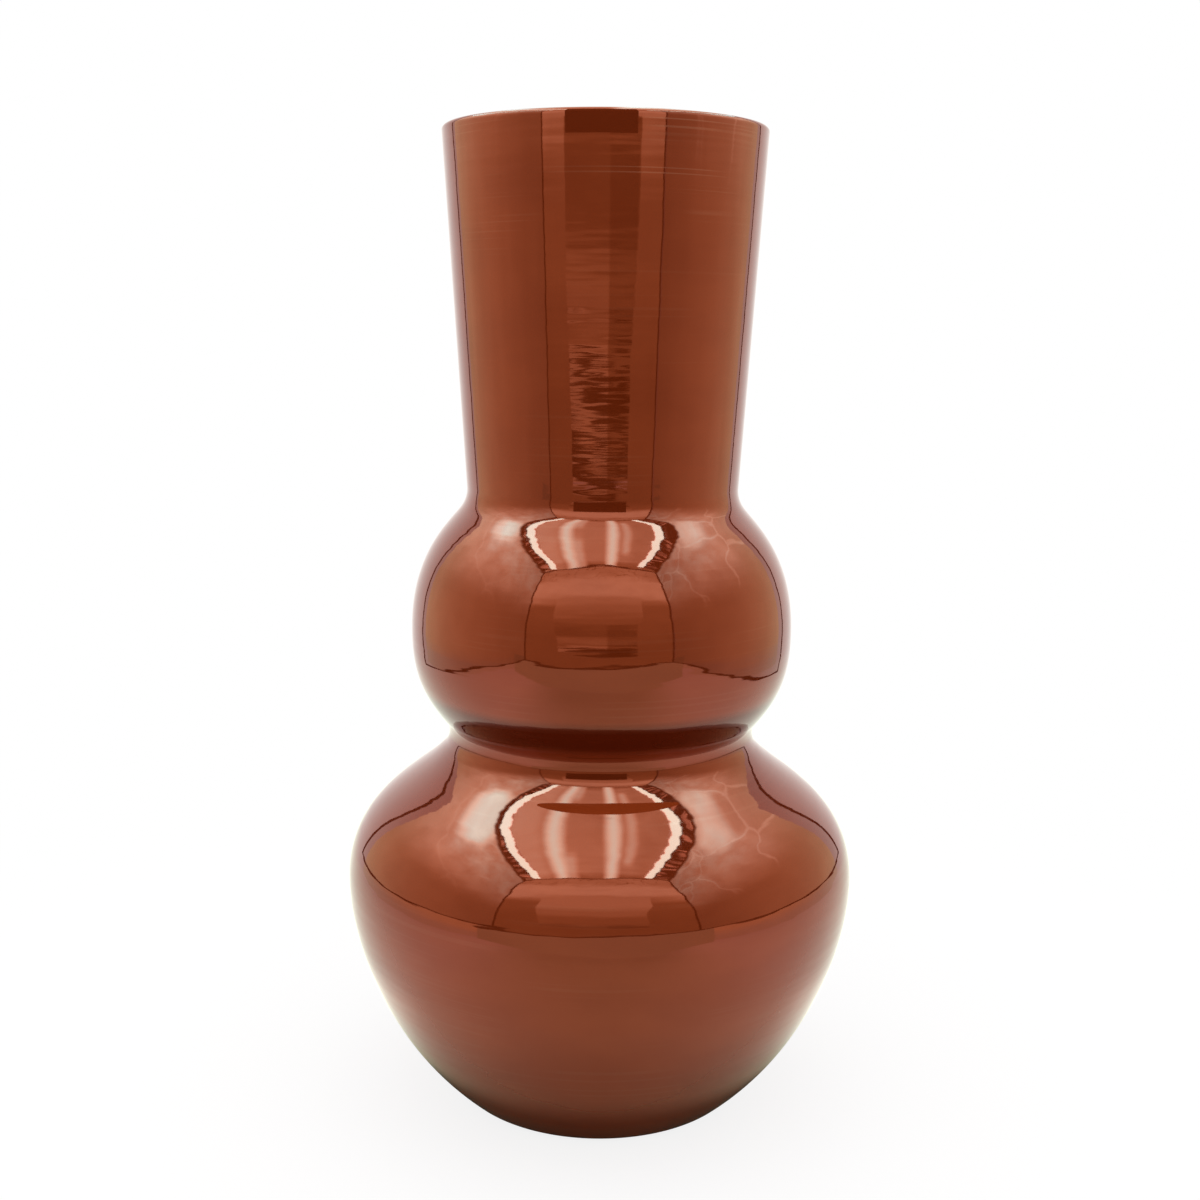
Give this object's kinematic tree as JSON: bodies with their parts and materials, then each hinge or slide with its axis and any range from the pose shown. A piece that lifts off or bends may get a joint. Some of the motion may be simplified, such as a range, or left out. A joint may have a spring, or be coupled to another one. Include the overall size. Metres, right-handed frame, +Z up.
{
  "type": "vase",
  "caption": "Round spun metal vase: a wide belly, a smaller ball above it and a tall neck that opens upwards, lacquered rust brown, on felt pads.",
  "frame": {"origin": "on the table, at the middle of the four pads, on the vase's own axis", "axes": "+Z up the axis, through the mouth; +X and +Y are alike, each midway between two pads"},
  "size_m": [0.16, 0.16, 0.3015],
  "materials": {
    "lacquer": "high gloss",
    "solder": "satin, coated with the inside of the vase",
    "felt": "matt"
  },
  "bodies": {
    "root": {"belly_bowl": "lacquer", "belly_shoulder": "lacquer", "ball_cup": "lacquer", "ball_crown": "lacquer", "neck": "lacquer", "belly_seam_solder": "solder", "waist_seam_solder": "solder", "ball_seam_solder": "solder", "neck_seam_solder": "solder", "felt_pad_1": "felt", "felt_pad_2": "felt", "felt_pad_3": "felt", "felt_pad_4": "felt"}
  },
  "joints": []
}
